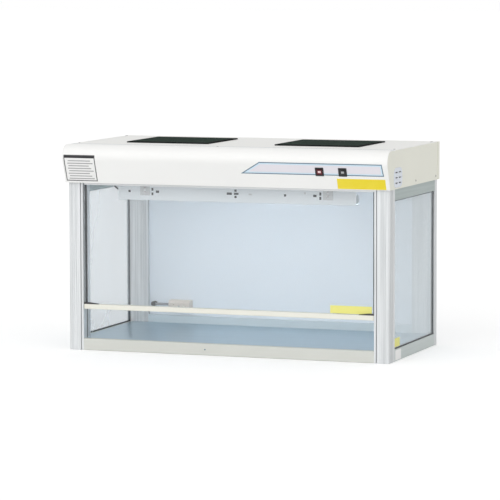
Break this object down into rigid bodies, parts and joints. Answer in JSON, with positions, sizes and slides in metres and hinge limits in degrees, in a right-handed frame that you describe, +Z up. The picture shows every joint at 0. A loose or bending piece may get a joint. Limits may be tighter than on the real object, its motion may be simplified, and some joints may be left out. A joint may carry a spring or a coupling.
{
  "type": "laminar flow hood",
  "caption": "Bench-top laminar flow hood: filtered air flows down from the header into a glazed work space behind a swing-up front panel.",
  "frame": {"origin": "below the middle of the whole hood, on the surface it stands on", "axes": "+X to the right seen from the front, +Y to the back, +Z up"},
  "size_m": [1.1992, 0.5999, 0.73],
  "materials": {
    "post_aluminium": "satin anodised",
    "rail_aluminium": "satin anodised",
    "shell_paint": "smooth powder coat",
    "sill_paint": "smooth powder coat",
    "side_glass": "clear",
    "front_glass": "clear",
    "gasket_rubber": "matt",
    "rear_panel_paint": "smooth",
    "floor_steel": "fine brushed",
    "diffuser_paint": "smooth powder coat",
    "filter_frame": "mill finish",
    "filter_paper": "matt",
    "cradle_steel": "zinc plated",
    "motor_alloy": "as cast",
    "wheel_plastic": "matt moulded",
    "prefilter_rim": "matt",
    "prefilter_mat": "open fibre mat",
    "lamp_paint": "satin white",
    "holder_plastic": "gloss",
    "tube_glass": "milk white",
    "cord_rubber": "matt",
    "ballast_paint": "satin",
    "outlet_plastic": "fine grain",
    "conduit_plastic": "ribbed",
    "switch_plastic": "gloss",
    "lamp_rocker_red": "gloss",
    "fan_rocker_black": "gloss",
    "vent_plastic": "fine grain",
    "panel_rail_paint": "smooth powder coat",
    "pivot_aluminium": "satin",
    "block_plastic": "matt",
    "screw_steel": "bright plated"
  },
  "bodies": {
    "hood": {"diffuser_screen": "diffuser_paint", "fan_cradle_left": "cradle_steel", "fan_cradle_right": "cradle_steel", "fan_motor_left": "motor_alloy", "fan_motor_right": "motor_alloy", "fan_switch": "switch_plastic", "filter_frame_left": "filter_frame", "filter_frame_right": "filter_frame", "filter_pack_left": "filter_paper", "filter_pack_right": "filter_paper", "front_post_left": "post_aluminium", "front_post_right": "post_aluminium", "front_sill": "sill_paint", "header_base": "shell_paint", "header_end_left": "shell_paint", "header_end_right": "shell_paint", "header_fascia": "shell_paint", "header_rear_cover": "shell_paint", "header_top_cover": "shell_paint", "lamp_ballast": "ballast_paint", "lamp_batten": "lamp_paint", "lamp_brackets": "lamp_paint", "lamp_cord": "cord_rubber", "lamp_holder_left": "holder_plastic", "lamp_holder_right": "holder_plastic", "lamp_switch": "switch_plastic", "lamp_tube": "tube_glass", "outlet_box": "outlet_plastic", "outlet_conduit": "conduit_plastic", "outlet_grommet": "gasket_rubber", "pane_gasket_left": "gasket_rubber", "pane_gasket_right": "gasket_rubber", "pivot_blocks": "block_plastic", "prefilter_frame_left": "prefilter_rim", "prefilter_frame_right": "prefilter_rim", "prefilter_mat_left": "prefilter_mat", "prefilter_mat_right": "prefilter_mat", "rear_panel": "rear_panel_paint", "rear_post_left": "post_aluminium", "rear_post_right": "post_aluminium", "rear_sill": "sill_paint", "screws": "screw_steel", "side_pane_left": "side_glass", "side_pane_right": "side_glass", "side_rail_lower_left": "rail_aluminium", "side_rail_lower_right": "rail_aluminium", "side_rail_upper_left": "rail_aluminium", "side_rail_upper_right": "rail_aluminium", "vent_plate": "vent_plastic", "work_floor": "floor_steel"},
    "front_panel": {"front_pane": "front_glass", "panel_rail": "panel_rail_paint", "panel_pivot_rod": "pivot_aluminium", "panel_bumpers": "gasket_rubber", "panel_clips": "block_plastic", "panel_seals": "gasket_rubber"},
    "lamp_rocker": {"lamp_rocker": "lamp_rocker_red"},
    "fan_rocker": {"fan_rocker": "fan_rocker_black"},
    "impeller_left": {"impeller_left": "wheel_plastic"},
    "impeller_right": {"impeller_right": "wheel_plastic"}
  },
  "joints": [
    {"name": "front_panel_swing", "type": "hinge", "parent": "hood", "child": "front_panel", "pos_m": [0, -0.2455, 0.598], "axis": [-1, 0, 0], "range_deg": [0, 65]},
    {"name": "lamp_rocker_tilt", "type": "hinge", "parent": "hood", "child": "lamp_rocker", "pos_m": [0.353, -0.28367, 0.65453], "axis": [1, 0, 0], "range_deg": [-7, 7]},
    {"name": "fan_rocker_tilt", "type": "hinge", "parent": "hood", "child": "fan_rocker", "pos_m": [0.436, -0.28367, 0.65453], "axis": [1, 0, 0], "range_deg": [-7, 7]},
    {"name": "impeller_left_spin", "type": "hinge", "parent": "hood", "child": "impeller_left", "pos_m": [-0.27824, 0.0422, 0.68], "axis": [0, 0, 1], "continuous": true},
    {"name": "impeller_right_spin", "type": "hinge", "parent": "hood", "child": "impeller_right", "pos_m": [0.27824, 0.0422, 0.68], "axis": [0, 0, 1], "continuous": true}
  ]
}
